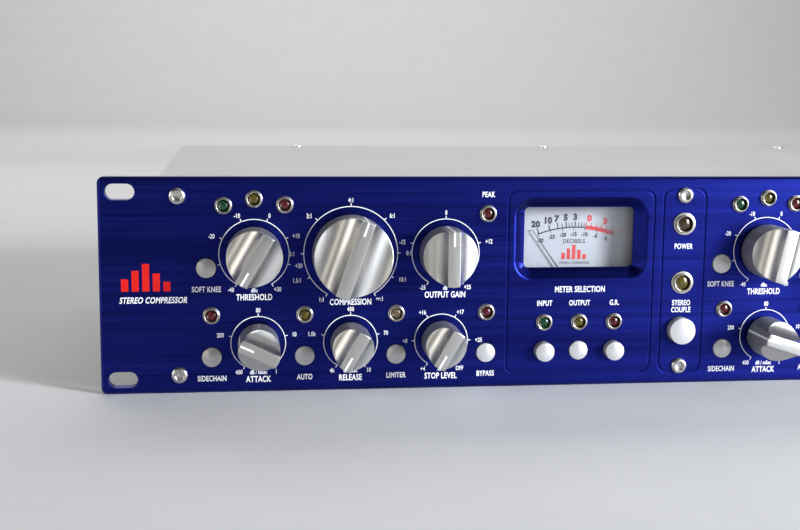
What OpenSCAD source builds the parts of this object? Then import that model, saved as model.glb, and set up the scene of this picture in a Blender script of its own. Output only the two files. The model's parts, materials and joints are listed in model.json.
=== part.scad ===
// Two-channel rack compressor, two rack units high.
// Origin: centre of the four rack slots, on the rear face of the front panel.
// +X runs to the right as the front is seen, +Y into the rack, +Z up. Millimetres.

/* [Front panel] */
// Overall width of the front panel
panel_w = 482.6; // [480:0.2:484]
// Overall height of the front panel
panel_h = 88.1; // [87.5:0.1:88.9]
// Thickness of the front panel
panel_t = 5; // [4.5:0.5:6]
// Radius of the panel's corners
panel_corner_r = 2.5; // [1.5:0.5:4]
// Bevel on the panel's front edges
panel_bevel = 1; // [0.5:0.1:1.2]
// Distance between the rack slots, left to right
slot_pitch_x = 465.1; // [465:0.1:465.2]
// Distance between the rack slots, bottom to top
slot_pitch_z = 76.2; // [76:0.1:76.4]
// End-to-end length of a rack slot
slot_l = 11.7; // [10:0.1:12.5]
// Width of a rack slot
slot_w = 6.5; // [6:0.1:7.2]

/* [Chassis] */
// Depth of the chassis behind the front panel
chassis_d = 255; // [240:5:280]
// Width over the top cover
cover_w = 436; // [430:1:440]
// Height of the cover's top face above the panel's centre line
cover_top_z = 43; // [42.5:0.1:43.5]
// Sheet thickness of the tray and the rear panel
sheet_t = 1.5; // [1.2:0.1:1.6]
// Sheet thickness of the top cover
cover_t = 1.2; // [1:0.1:1.4]

/* [Channel layout] */
// Distance between the centres of the two channels
channel_pitch = 216; // [215:0.5:217]
// Height of the upper row of knobs
upper_z = 12.9; // [12:0.1:14]
// Height of the lower row of knobs
lower_z = -23.8; // [-25:0.1:-23]
// Threshold knob, from the channel's centre
threshold_x = -71.7; // [-73:0.1:-70]
// Compression knob, from the channel's centre
compression_x = -32.5; // [-34:0.1:-31]
// Output gain knob, from the channel's centre
output_x = 6.6; // [5:0.1:8]
// Attack knob, from the channel's centre
attack_x = -70.2; // [-71:0.1:-69]
// Stop level knob, from the channel's centre
stop_x = 5.2; // [4:0.1:6]
// First button column of the lower row, from the channel's centre
button_x = -89; // [-90:0.1:-88]
// Distance between the button columns of the lower row
button_pitch = 37.7; // [37:0.1:38]
// Height of the lower row of buttons
button_z = -29.3; // [-30:0.1:-28.5]
// Height of the lights above the lower row of buttons
light_z = -12.1; // [-13:0.1:-11.5]

/* [Meters] */
// Meter centre, from the channel's centre
meter_x = 63.8; // [63:0.1:64.5]
// Height of the meter window's centre
meter_z = 18.5; // [18:0.1:19]
// Width of the window opening
window_w = 46.9; // [45:0.1:48]
// Height of the window opening
window_h = 25.4; // [24:0.1:26]
// Distance between the meter's three selector buttons
selector_pitch = 15; // [14.5:0.1:15.5]
// Depth of the dial behind the panel's front face
dial_depth = 13; // [12:0.5:14]
// Angle of the needle to the left of upright when it rests
needle_rest = 35; // [30:1:40]

/* [Knobs and buttons] */
// Radius of the compression knobs
knob_large_r = 16; // [15:0.1:17]
// Radius of the threshold and output gain knobs
knob_medium_r = 11.2; // [10.5:0.1:12]
// Radius of the three knobs of the lower row
knob_small_r = 8.4; // [8.3:0.1:9]
// Height of a knob's top above the panel
knob_h = 22; // [20:0.5:24]
// Width of the grip bar across a knob
grip_w = 5.2; // [4.5:0.1:6]
// Radius of the scoops beside the grip bar
scoop_r = 9; // [8:0.1:9.5]
// Radius of a push button's cap
cap_r = 4; // [3.6:0.1:4.2]
// Height of a pressed-in cap above the panel
cap_in_h = 1.4; // [1.2:0.1:1.8]
// Height of a cap that stands out
cap_out_h = 4.4; // [4:0.1:4.8]

/* [Hidden] */
$fn = 96;
eps = 0.01;
through = 1;

// Channel and column positions
function channel_x(channel) = (channel - 1.5) * channel_pitch;
both = [channel_x(1), channel_x(2)];
release_x = compression_x;
button_columns = [for (i = [0:3]) button_x + i * button_pitch];
selector_columns = [for (i = [-1:1]) meter_x + i * selector_pitch];
selector_z = -29;
selector_light_z = -16.8;
soft_knee_at = [-90.9, 7.3];
threshold_lights = [[-83.8, 32.6], [-71.6, 35.2], [-59.3, 32.9]];
peak_light = [24.1, 29];
stereo_button_z = -21;
power_light_z = 24.4;
stereo_light_z = -0.5;
pot_spots = [for (x = both) each [
    [x + threshold_x, upper_z], [x + compression_x, upper_z], [x + output_x, upper_z],
    [x + attack_x, lower_z], [x + release_x, lower_z], [x + stop_x, lower_z]]];
small_button_spots = [for (x = both) each concat(
    [[x + soft_knee_at[0], soft_knee_at[1]]],
    [for (column = button_columns) [x + column, button_z]],
    [for (column = selector_columns) [x + column, selector_z]])];
small_light_spots = [for (x = both) each concat(
    [for (light = threshold_lights) [x + light[0], light[1]]],
    [[x + peak_light[0], peak_light[1]]],
    [for (column = button_columns) [x + column, light_z]],
    [for (column = selector_columns) [x + column, selector_light_z]])];
meter_spots = [for (x = both) x + meter_x];

// Panel screws: one pair in the middle and one at each side
screw_spots = [for (x = [-210, 0, 210], side = [-1, 1]) [x, side * 36.4]];
screw_head_r = 3.4;
screw_shank_r = 1.9;
// Clearance hole of the small screws that hold the boards, the cover and the rear sockets
screw_hole_r = 1.6;
// Length of a cut that goes through a sheet wherever it starts
cut_l = 10;

// Engraved frames: width, depth and outline
groove_w = 0.8;
groove_d = 0.4;
frame_r = 4;
meter_frame = [62.1, 77];
centre_frame = [18.2, 78.2];

// Bevelled recess round each meter window
recess_outer = [56.2, 34.3];
recess_d = 4;

// Lights and their bezels
bezel_r = 3.5;
bezel_barrel_r = 2.9;
bezel_h = 1.5;
bezel_bore_r = 2.45;
bezel_flange_h = 0.8;
bezel_collar_w = 0.65;
bezel_barrel_l = 1.2;
bezel_rim = 0.3;
light_r = 2.35;
light_proud = 0.7;
lead_w = 0.5;
lead_x = 1.27;
big_bezel_r = 4.8;
big_barrel_r = 3.9;
big_bore_r = 3.2;
big_light_r = 3.1;

// Stack behind the panel, measured outwards from the panel's rear face
board_front = -10.5;
board_t = 1.6;
switch_front = -3.5;
pot_front = -2;
knob_gap = 1;
shaft_r = 3;
bushing_r = 4.5;
knob_bore_l = 12;
shaft_in_l = 8;
pointer_w = 0.8;
pointer_d = 0.3;
nut_h = 2;
nut_recess_r = 6.8;
stem_r = 1.6;
stem_l = 9.4;
stem_bore_l = 4;
cap_l = 6;
cap_edge = 0.5;
big_cap_r = 5.65;
cap_gap = 0.25;

// Meter works, seen from the front, relative to the meter's centre line
housing_w = 58;
housing_bottom = -12.6;
housing_top = 36.4;
housing_mid = (housing_bottom + housing_top) / 2;
housing_h = housing_top - housing_bottom;
housing_depth = 30;
housing_wall = 1.5;
dial_front = panel_t - dial_depth;
pivot_z = -6;
pivot_x = 0.6;
needle_l = 32.7;
pin_r = 0.5;

// Chassis
tray_w = cover_w - 2 * cover_t - 0.1;
tray_bottom = -panel_h / 2;
tray_top = cover_top_z - cover_t - 0.2;
inner_bottom = tray_bottom + sheet_t;
rear_in = chassis_d - sheet_t;
seam = 0.05;
lip_h = 20;

// Rear sockets, along X
xlr_inputs = [-188, -52];
xlr_outputs = [-156, -20];
jacks = [-130, -110, -90, 6, 26, 46];
rocker_x = 118;
inlet_x = 172;
xlr_bore_r = 9.6;
jack_r = 3.25;
jack_bore_l = 30;

// Draws its children facing the viewer in front of the unit: x, height, outwards
module front() {
    rotate([90, 0, 0]) children();
}

// Draws its children facing a viewer behind the unit, outwards from the rear panel
module back(x = 0, z = 0) {
    translate([x, chassis_d, z]) rotate([90, 0, 180]) children();
}

module at(spot, out = 0) {
    translate([spot[0], spot[1], out]) children();
}

// Corner points of a rectangle with rounded corners
function round_corners(w, h, r, steps = 8) = [
    for (corner = [0:3], i = [0:steps])
        let (turn = 90 * corner + 90 * i / steps,
             sx = (corner == 0 || corner == 3) ? 1 : -1,
             sy = corner < 2 ? 1 : -1)
        [sx * (w / 2 - r) + r * cos(turn), sy * (h / 2 - r) + r * sin(turn)]];

module slab(w, h, r, t) {
    linear_extrude(height = t) polygon(round_corners(w, h, r));
}

module ring_slab(size, r, width, t) {
    difference() {
        slab(size[0] + width, size[1] + width, r + width / 2, t);
        translate([0, 0, -through]) slab(size[0] - width, size[1] - width, r - width / 2, t + 2 * through);
    }
}

module slot_hole(length, width, t) {
    reach = (length - width) / 2;
    translate([-reach, -width / 2, 0]) cube([2 * reach, width, t]);
    for (side = [-1, 1]) translate([side * reach, 0, 0]) cylinder(r = width / 2, h = t);
}

// ---------------------------------------------------------------- front panel

module plate_blank() {
    hull() {
        slab(panel_w, panel_h, panel_corner_r, panel_t - panel_bevel);
        slab(panel_w - 2 * panel_bevel, panel_h - 2 * panel_bevel,
            panel_corner_r - panel_bevel, panel_t);
    }
}

// The bevel widens on past the panel's face, so the cut has no skin left on it
module meter_recess() {
    over = 0.4;
    grow = over * (recess_outer[0] - window_w) / recess_d;
    hull() {
        translate([0, 0, panel_t - recess_d]) slab(window_w + 0.3, window_h + 0.3, 2.1, eps);
        translate([0, 0, panel_t + over]) slab(recess_outer[0] + grow, recess_outer[1] + grow, 8.4, eps);
    }
    translate([0, 0, -through]) slab(window_w, window_h, 2, panel_t + through);
}

module frame_groove(size) {
    translate([0, 0, panel_t - groove_d]) ring_slab(size, frame_r, groove_w, through);
}

module panel_hole(r) {
    translate([0, 0, -through]) cylinder(r = r, h = panel_t + 2 * through);
}

module front_panel() {
    color("mediumblue") front() difference() {
        plate_blank();
        for (sx = [-1, 1], sz = [-1, 1])
            at([sx * slot_pitch_x / 2, sz * slot_pitch_z / 2], -through)
                slot_hole(slot_l, slot_w, panel_t + 2 * through);
        for (x = meter_spots) at([x, meter_z]) meter_recess();
        for (x = meter_spots) at([x, 0]) frame_groove(meter_frame);
        frame_groove(centre_frame);
        for (spot = pot_spots) at(spot) panel_hole(bushing_r + 0.1);
        for (spot = small_button_spots) at(spot) panel_hole(cap_r + cap_gap);
        at([0, stereo_button_z]) panel_hole(big_cap_r + cap_gap);
        for (spot = small_light_spots) at(spot) panel_hole(bezel_barrel_r + 0.05);
        for (z = [power_light_z, stereo_light_z]) at([0, z]) panel_hole(big_barrel_r + 0.05);
        for (spot = screw_spots) at(spot) panel_hole(screw_shank_r + 0.1);
    }
}

// Button-head socket screw; its head stands on the surface it is drawn on
module button_screw(head_r, head_h, shank_r, length) {
    difference() {
        union() {
            cylinder(r = head_r, h = head_h * 0.4);
            translate([0, 0, head_h * 0.4]) cylinder(r1 = head_r, r2 = head_r * 0.68, h = head_h * 0.6);
            translate([0, 0, -length]) cylinder(r = shank_r, h = length + eps);
        }
        translate([0, 0, head_h * 0.4]) cylinder(r = head_r * 0.42, h = head_h, $fn = 6);
    }
}

module panel_screws() {
    color("silver") front() for (spot = screw_spots)
        at(spot, panel_t) button_screw(screw_head_r, 2, screw_shank_r, panel_t + sheet_t + 3);
}

// ------------------------------------------------------------------- lights

// Turned bezel: flange with a chamfered rim, and a prouder collar around the bore
module bezel(outer_r, barrel_r, bore_r) {
    flange = panel_t + bezel_flange_h;
    top = panel_t + bezel_h;
    collar_r = bore_r + bezel_collar_w;
    rotate_extrude() polygon([
        [bore_r, -bezel_barrel_l], [barrel_r, -bezel_barrel_l], [barrel_r, panel_t], [outer_r, panel_t],
        [outer_r, flange - bezel_rim], [outer_r - bezel_rim, flange], [collar_r, flange],
        [collar_r, top - 0.2], [collar_r - 0.2, top], [bore_r + 0.2, top], [bore_r, top - 0.4],
    ]);
}

module led_bezels() {
    color("gainsboro") front() {
        for (spot = small_light_spots) at(spot) bezel(bezel_r, bezel_barrel_r, bezel_bore_r);
        for (z = [power_light_z, stereo_light_z]) at([0, z]) bezel(big_bezel_r, big_barrel_r, big_bore_r);
    }
}

// Domed lens with its two leads to the control board
module light(r) {
    dome_z = panel_t + light_proud - r;
    cylinder(r = r, h = dome_z);
    translate([0, 0, dome_z]) sphere(r = r);
    for (side = [-1, 1])
        translate([side * lead_x - lead_w / 2, -lead_w / 2, board_front + 0.1])
            cube([lead_w, lead_w, -board_front]);
}

module lights(spots, r = light_r) {
    for (spot = spots) at(spot) light(r);
}

module green_leds() {
    color("darkgreen") front() for (x = both) {
        lights([[x + threshold_lights[0][0], threshold_lights[0][1]]]);
        lights([[x + selector_columns[0], selector_light_z]]);
    }
}

module yellow_leds() {
    color("gold") front() {
        for (x = both) {
            lights([[x + threshold_lights[1][0], threshold_lights[1][1]]]);
            lights([[x + button_columns[1], light_z], [x + button_columns[2], light_z]]);
            lights([[x + selector_columns[1], selector_light_z]]);
        }
        lights([[0, stereo_light_z]], big_light_r);
    }
}

module red_leds() {
    color("darkred") front() {
        for (x = both) {
            lights([[x + threshold_lights[2][0], threshold_lights[2][1]]]);
            lights([[x + peak_light[0], peak_light[1]]]);
            lights([[x + button_columns[0], light_z], [x + button_columns[3], light_z]]);
            lights([[x + selector_columns[2], selector_light_z]]);
        }
        lights([[0, power_light_z]], big_light_r);
    }
}

// -------------------------------------------------------------------- knobs

// Turned knob with a grip bar between two scoops, on its own shaft.
// The pointer end of the bar is turned clockwise from upright by rest.
module knob(x, z, r, rest, grip = grip_w) {
    base = panel_t + knob_gap;
    top = panel_t + knob_h;
    color("silver") front() at([x, z]) rotate([0, 0, -rest]) {
        difference() {
            translate([0, 0, base]) cylinder(r = r, h = top - base);
            for (side = [-1, 1])
                translate([side * (grip / 2 + scoop_r), 0, top]) rotate([90, 0, 0])
                    cylinder(r = scoop_r, h = 3 * r, center = true);
            translate([0, 0, base - through]) cylinder(r = nut_recess_r, h = nut_h + 0.8 + through);
            translate([0, 0, base]) cylinder(r = shaft_r + 0.02, h = knob_bore_l);
            translate([-pointer_w / 2, r - 6, top - pointer_d]) cube([pointer_w, 8, through]);
            translate([-pointer_w / 2, r - pointer_d, base + 1.5]) cube([pointer_w, through, knob_h]);
        }
        translate([0, 0, -shaft_in_l]) cylinder(r = shaft_r, h = base + knob_bore_l - 0.1 + shaft_in_l);
    }
}

module threshold_knob(channel, rest) {
    knob(channel_x(channel) + threshold_x, upper_z, knob_medium_r, rest);
}

module compression_knob(channel, rest) {
    knob(channel_x(channel) + compression_x, upper_z, knob_large_r, rest, grip_w + 0.6);
}

module output_knob(channel, rest) {
    knob(channel_x(channel) + output_x, upper_z, knob_medium_r, rest);
}

module attack_knob(channel, rest) {
    knob(channel_x(channel) + attack_x, lower_z, knob_small_r, rest);
}

module release_knob(channel, rest) {
    knob(channel_x(channel) + release_x, lower_z, knob_small_r, rest);
}

module stop_knob(channel, rest) {
    knob(channel_x(channel) + stop_x, lower_z, knob_small_r, rest);
}

// Potentiometer: body on the control board, threaded bushing through the panel, nut on the panel
module pot() {
    body_w = 14;
    difference() {
        union() {
            translate([-body_w / 2, -body_w / 2, board_front])
                cube([body_w, body_w, pot_front - board_front]);
            translate([0, 0, pot_front - eps]) cylinder(r = bushing_r, h = panel_t + nut_h + 0.3 - pot_front);
        }
        translate([0, 0, board_front + 1.5]) cylinder(r = shaft_r + 0.05, h = panel_t + 20);
    }
    translate([0, 0, panel_t]) difference() {
        cylinder(r = 6, h = nut_h, $fn = 6);
        translate([0, 0, -through]) cylinder(r = bushing_r + 0.02, h = nut_h + 2 * through);
    }
}

module pot_bodies() {
    color("darkgray") front() for (spot = pot_spots) at(spot) pot();
}

// ------------------------------------------------------------------ buttons

// Push button: silver cap on a plunger that runs in the switch body behind it
module button(x, z, height, r = cap_r) {
    top = panel_t + height;
    color("gainsboro") front() at([x, z]) {
        difference() {
            union() {
                translate([0, 0, top - cap_l]) cylinder(r = r, h = cap_l - cap_edge);
                translate([0, 0, top - cap_edge]) cylinder(r1 = r, r2 = r - cap_edge - 0.1, h = cap_edge);
            }
            translate([0, 0, top - cap_l - through]) cylinder(r = stem_r + 0.02, h = stem_bore_l + through);
        }
        translate([0, 0, top - cap_l - stem_l]) cylinder(r = stem_r, h = stem_l + stem_bore_l - 0.1);
    }
}

module lower_button(channel, column) {
    button(channel_x(channel) + button_columns[column], button_z, cap_in_h);
}

module soft_knee_button(channel) {
    button(channel_x(channel) + soft_knee_at[0], soft_knee_at[1], cap_in_h);
}

module selector_button(channel, column, height) {
    button(channel_x(channel) + selector_columns[column], selector_z, height);
}

module stereo_button() {
    button(0, stereo_button_z, cap_out_h, big_cap_r);
}

module push_switch() {
    body_w = 7;
    difference() {
        translate([-body_w / 2, -body_w / 2, board_front]) cube([body_w, body_w, switch_front - board_front]);
        translate([0, 0, board_front + 0.5]) cylinder(r = stem_r + 0.06, h = 12);
    }
}

// Rear rocker switch: open box with a pivot pin across it
rocker_open = [11.4, 18.4];
rocker_pin_out = -2;

module rocker_housing() {
    difference() {
        union() {
            slab(rocker_open[0] + 6, rocker_open[1] + 6, 2, 1.5);
            translate([-6.7, -10.2, -20]) cube([13.4, 20.4, 20 + eps]);
        }
        translate([-rocker_open[0] / 2, -rocker_open[1] / 2, -8]) cube([rocker_open[0], rocker_open[1], 12]);
    }
    translate([-rocker_open[0] / 2 - 0.5, 0, rocker_pin_out]) rotate([0, 90, 0])
        cylinder(r = 1, h = rocker_open[0] + 1);
}

module switch_bodies() {
    color("dimgray") {
        front() {
            for (spot = small_button_spots) at(spot) push_switch();
            at([0, stereo_button_z]) push_switch();
        }
        back(rocker_x) rocker_housing();
    }
}

// Rocker: high at both ends, tilted by 10 degrees so that its lower end is pressed in
module power_rocker() {
    w = rocker_open[0] - 0.8;
    color("black") back(rocker_x) translate([0, 0, rocker_pin_out]) rotate([-10, 0, 0]) difference() {
        translate([-w / 2, 0, 0]) rotate([90, 0, 90]) linear_extrude(height = w)
            polygon([[-7.6, -2], [7.6, -2], [8, 4.2], [4, 3], [0, 2.6], [-4, 3], [-8, 4.2]]);
        translate([-w, 0, 0]) rotate([0, 90, 0]) cylinder(r = 1.06, h = 2 * w);
    }
}

// ------------------------------------------------------------------- meters

module meter_housings() {
    color("dimgray") front() for (x = meter_spots) at([x, housing_mid], -housing_depth) difference() {
        slab(housing_w, housing_h, 2, housing_depth - 0.2);
        translate([0, 0, housing_wall])
            slab(housing_w - 2 * housing_wall, housing_h - 2 * housing_wall, 1, housing_depth);
    }
}

module meter_windows() {
    color("aliceblue", 0.4) front() for (x = meter_spots) at([x, housing_mid], -2.2)
        slab(housing_w - 2 * housing_wall - 0.1, housing_h - 2 * housing_wall - 0.1, 1, 1.8);
}

module meter_dials() {
    color("white") front() for (x = meter_spots) difference() {
        at([x, housing_mid], dial_front - 0.8)
            slab(housing_w - 2 * housing_wall - 0.1, housing_h - 2 * housing_wall - 0.1, 1, 0.8);
        at([x + pivot_x, pivot_z], dial_front - 2) cylinder(r = 3, h = 4);
    }
}

// Magnet and coil frame on a post from the housing's back, with the needle's pivot pin
module meter_movements() {
    color("darkgray") front() for (x = meter_spots) at([x + pivot_x, pivot_z]) {
        translate([0, 0, -20]) cylinder(r = 4.8, h = 10);
        translate([0, 0, -20 + eps]) cylinder(r = pin_r, h = 15.4);
        translate([0, 0, -housing_depth + housing_wall]) cylinder(r = 2.5, h = 8.5 + eps);
    }
}

// The needle turns about the pivot pin in front of the dial; a short tail balances it
module meter_needle(channel) {
    w = 0.5;
    color("black") front() at([channel_x(channel) + meter_x + pivot_x, pivot_z], dial_front) {
        rotate([0, 0, needle_rest]) difference() {
            union() {
                translate([0, 0, 0.6]) cylinder(r = 2, h = 1.6);
                translate([-w / 2, 0, 1.2]) cube([w, needle_l, w]);
                translate([-w, -3.6, 1.2]) cube([2 * w, 3, w]);
            }
            cylinder(r = pin_r + 0.05, h = 5);
        }
    }
}

// ------------------------------------------------------------------ chassis

module vent_row() {
    for (i = [0:11]) translate([90 + 10 * i, -20, 0]) cube([3, 34, 4]);
}

// Base plate, two side plates and the sub-panel behind the front panel
module tray_walls() {
    inner_y = sheet_t + seam;
    side_z = inner_bottom + seam;
    translate([-tray_w / 2, inner_y, tray_bottom]) cube([tray_w, rear_in - inner_y, sheet_t]);
    for (x = [-tray_w / 2, tray_w / 2 - sheet_t])
        translate([x, inner_y, side_z]) cube([sheet_t, rear_in - inner_y, tray_top - side_z]);
    translate([-tray_w / 2, 0, tray_bottom]) cube([tray_w, sheet_t, tray_top - tray_bottom]);
}

module flange_holes() {
    for (spot = pot_spots) at(spot) cylinder(r = 5, h = cut_l, center = true);
    for (spot = small_button_spots) at(spot) cylinder(r = cap_r + 0.8, h = cut_l, center = true);
    at([0, stereo_button_z]) cylinder(r = big_cap_r + 0.8, h = cut_l, center = true);
    for (spot = small_light_spots) at(spot) cylinder(r = bezel_barrel_r + 0.3, h = cut_l, center = true);
    for (z = [power_light_z, stereo_light_z])
        at([0, z]) cylinder(r = big_barrel_r + 0.3, h = cut_l, center = true);
    for (spot = screw_spots) at(spot) cylinder(r = screw_shank_r + 0.1, h = cut_l, center = true);
    for (x = meter_spots) at([x, housing_mid], -5)
        slab(housing_w + 0.4, housing_h + 0.4, 2, 10);
}

module chassis_tray() {
    color("lightgray") difference() {
        tray_walls();
        front() flange_holes();
        for (x = [-tray_w / 2 - 1, tray_w / 2 - sheet_t - 1]) translate([x, 0, 0])
            rotate([90, 0, 90]) vent_row();
        for (x = [-1, 1], y = side_screw_y) translate([x * tray_w / 2, y, side_screw_z])
            rotate([0, 90, 0]) cylinder(r = screw_hole_r, h = cut_l, center = true);
        for (spot = board_posts)
            translate([spot[0], spot[1], tray_bottom]) cylinder(r = screw_hole_r, h = cut_l, center = true);
        translate([toroid_at[0], toroid_at[1], tray_bottom]) cylinder(r = 3.1, h = cut_l, center = true);
    }
}

side_screw_y = [40, 130, 220];
side_screw_z = 31;
top_screw_x = [-150, 0, 150];
top_screw_y = chassis_d - 8;

module top_cover() {
    color("gainsboro") difference() {
        union() {
            translate([-cover_w / 2, 0.2, cover_top_z - cover_t]) cube([cover_w, chassis_d - 0.2, cover_t]);
            for (x = [-cover_w / 2, cover_w / 2 - cover_t])
                translate([x, 0.2, cover_top_z - lip_h]) cube([cover_t, chassis_d - 0.2, lip_h]);
        }
        for (x = [-1, 1], y = side_screw_y) translate([x * cover_w / 2, y, side_screw_z])
            rotate([0, 90, 0]) cylinder(r = screw_hole_r, h = cut_l, center = true);
        for (x = top_screw_x)
            translate([x, top_screw_y, cover_top_z]) cylinder(r = screw_hole_r, h = cut_l, center = true);
    }
}

// Rear panel, with a screw strip along its top edge for the cover
module rear_panel() {
    w = tray_w - 2 * sheet_t - 0.2;
    h = tray_top - inner_bottom - 0.1;
    strip_z = inner_bottom + h - sheet_t;
    strip_w = 16;
    color("lightgray") difference() {
        union() {
            translate([-w / 2, rear_in, inner_bottom]) cube([w, sheet_t, h - sheet_t - seam]);
            translate([-w / 2, chassis_d - strip_w, strip_z]) cube([w, strip_w, sheet_t]);
        }
        for (x = concat(xlr_inputs, xlr_outputs)) back(x) cylinder(r = 12, h = cut_l, center = true);
        for (x = xlr_inputs) back(x) translate([-4, 8, -5]) cube([8, 7.4, 10]);
        for (x = concat(xlr_inputs, xlr_outputs)) back(x)
            for (spot = xlr_holes) at(spot) cylinder(r = screw_hole_r, h = cut_l, center = true);
        for (x = jacks) back(x) cylinder(r = 5.6, h = cut_l, center = true);
        back(rocker_x) translate([-6.8, -10.3, -5]) cube([13.6, 20.6, 10]);
        back(inlet_x) translate([-14.1, -22.1, -5]) cube([28.2, 44.2, 10]);
        for (x = [-1, 1]) back(inlet_x + x * 20) cylinder(r = screw_hole_r, h = cut_l, center = true);
        for (x = top_screw_x)
            translate([x, top_screw_y, tray_top]) cylinder(r = screw_hole_r, h = cut_l, center = true);
    }
}

xlr_holes = [[9.5, 12], [-9.5, -12]];

module chassis_screws() {
    color("silver") {
        for (side = [-1, 1], y = side_screw_y) translate([side * cover_w / 2, y, side_screw_z])
            rotate([0, side * 90, 0]) button_screw(3, 1.4, 1.5, 6);
        for (x = top_screw_x) translate([x, top_screw_y, cover_top_z]) button_screw(3, 1, 1.5, 6);
        for (x = concat(xlr_inputs, xlr_outputs)) back(x)
            for (spot = xlr_holes) at(spot, 1.8) button_screw(2.6, 1.4, 1.5, 6);
        for (x = [-1, 1]) back(inlet_x + x * 20) translate([0, 0, 2]) button_screw(2.6, 1.4, 1.5, 6);
    }
}

// ------------------------------------------------------------- rear sockets

module xlr_shell() {
    slab(26, 31, 3, 1.8);
    translate([0, 0, -24]) cylinder(r = 11.8, h = 24 + eps);
}

contact_ring = [[-4.3, 1.6], [4.3, 1.6], [0, -4.3]];

module xlr_input() {
    difference() {
        xlr_shell();
        difference() {
            translate([0, 0, -14]) cylinder(r = xlr_bore_r, h = 20);
            translate([0, 0, -15]) cylinder(r = 7.9, h = 14);
        }
        for (spot = contact_ring) at(spot, -12) cylinder(r = 1.35, h = 20);
        translate([-3.7, 10.6, -9]) cube([7.4, 4.4, 20]);
        for (spot = xlr_holes) at(spot) cylinder(r = screw_hole_r, h = cut_l, center = true);
    }
}

module xlr_output() {
    difference() {
        xlr_shell();
        translate([0, 0, -14]) cylinder(r = 8.2, h = 20);
        for (spot = xlr_holes) at(spot) cylinder(r = screw_hole_r, h = cut_l, center = true);
    }
    for (spot = contact_ring) at(spot, -14 - eps) cylinder(r = 1.2, h = 12);
}

module xlr_sockets() {
    color("silver") {
        for (x = xlr_inputs) back(x) xlr_input();
        for (x = xlr_outputs) back(x) xlr_output();
    }
}

// Release tab above the female socket; it is pressed inwards
module xlr_latch(x) {
    color("gray") back(x) translate([-3.5, 10.8, -6.5]) cube([7, 4, 9.5]);
}

module jack_socket() {
    difference() {
        union() {
            translate([-8, -8, -sheet_t - 29]) cube([16, 16, 29]);
            translate([0, 0, -sheet_t - eps]) cylinder(r = 5.5, h = sheet_t + 3.5);
        }
        translate([0, 0, 3.5 - jack_bore_l]) cylinder(r = jack_r, h = jack_bore_l + through);
    }
    difference() {
        cylinder(r = 7.6, h = 2.2, $fn = 6);
        translate([0, 0, -through]) cylinder(r = 5.52, h = 5);
    }
}

module jack_sockets() {
    color("dimgray") for (x = jacks) back(x) jack_socket();
}

inlet_z = -9;
drawer_z = 13;

module power_inlet() {
    color("black") back(inlet_x) {
        difference() {
            union() {
                slab(48, 46, 4, 2);
                translate([-14, -22, -32]) cube([28, 44, 32 + eps]);
            }
            translate([-12.2, inlet_z - 8.2, -16]) cube([24.4, 16.4, 20]);
            translate([-10.2, drawer_z - 4.2, -22]) cube([20.4, 8.4, 26]);
            for (x = [-20, 20]) translate([x, 0, 0]) cylinder(r = screw_hole_r, h = cut_l, center = true);
        }
        for (x = [-7, 0, 7]) translate([x - 1, inlet_z + (x == 0 ? 1 : -3), -16 - eps]) cube([2, 4, 13]);
    }
}

// Drawer with a glass fuse lying in it
module fuse_drawer() {
    color("black") back(inlet_x) {
        difference() {
            union() {
                translate([-10, drawer_z - 4, -21]) cube([20, 8, 23.3]);
                translate([-11, drawer_z - 5, 2.2]) cube([22, 10, 1.6]);
            }
            translate([-2.7, drawer_z - 2, -19.5]) cube([5.4, 8, 19]);
        }
        translate([0, drawer_z + 0.6, -19.2]) cylinder(r = 2.5, h = 18.4);
    }
}

// ------------------------------------------------------------------- inside

board_bottom = inner_bottom + 8;
board_posts = [for (x = [-200, -100, 0, 84], y = [45, 205]) [x, y]];
control_posts = [for (x = [-195, -98, 14, 118, 203]) [x, 35]];
toroid_at = [150, 125];

module circuit_boards() {
    color("seagreen") {
        translate([-207, 38, board_bottom]) difference() {
            cube([300, 174, board_t]);
            for (spot = board_posts) translate([spot[0] + 207, spot[1] - 38, 0])
                cylinder(r = screw_hole_r, h = cut_l, center = true);
        }
        front() difference() {
            translate([-211, -39, board_front - board_t]) cube([422, 78, board_t]);
            for (x = meter_spots) at([x, housing_mid], board_front - 5)
                slab(housing_w + 1, housing_h + 1, 2, cut_l);
            for (spot = screw_spots) at(spot, board_front) cylinder(r = 5, h = cut_l, center = true);
        }
    }
}

// Pillars under the main board, and spacers between the tray's front and the control board
module standoffs() {
    color("goldenrod") {
        for (spot = board_posts) translate([spot[0], spot[1], inner_bottom]) difference() {
            cylinder(r = 3, h = board_bottom - inner_bottom);
            translate([0, 0, -through]) cylinder(r = 1.5, h = 12);
        }
        front() for (spot = control_posts) at(spot, board_front)
            cylinder(r = 1.8, h = -board_front - sheet_t);
    }
}

// Toroidal mains transformer between rubber pads, clamped by a dished plate and a bolt
module transformer() {
    pad_t = 2;
    coil_h = 38;
    color("peru") translate([toroid_at[0], toroid_at[1], inner_bottom]) {
        difference() {
            cylinder(r = 40, h = pad_t);
            translate([0, 0, -through]) cylinder(r = 12, h = 8);
        }
        translate([0, 0, pad_t + 0.02]) rotate_extrude() translate([28, coil_h / 2])
            polygon(round_corners(30, coil_h, 9));
        translate([0, 0, pad_t + coil_h + 0.04]) difference() {
            cylinder(r = 26, h = 2);
            translate([0, 0, -through]) cylinder(r = 3.2, h = 8);
        }
        cylinder(r = 3, h = coil_h + 12);
        translate([0, 0, pad_t + coil_h + 2.1]) difference() {
            cylinder(r = 6.5, h = 4, $fn = 6);
            translate([0, 0, -through]) cylinder(r = 3.02, h = 8);
        }
    }
}

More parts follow.
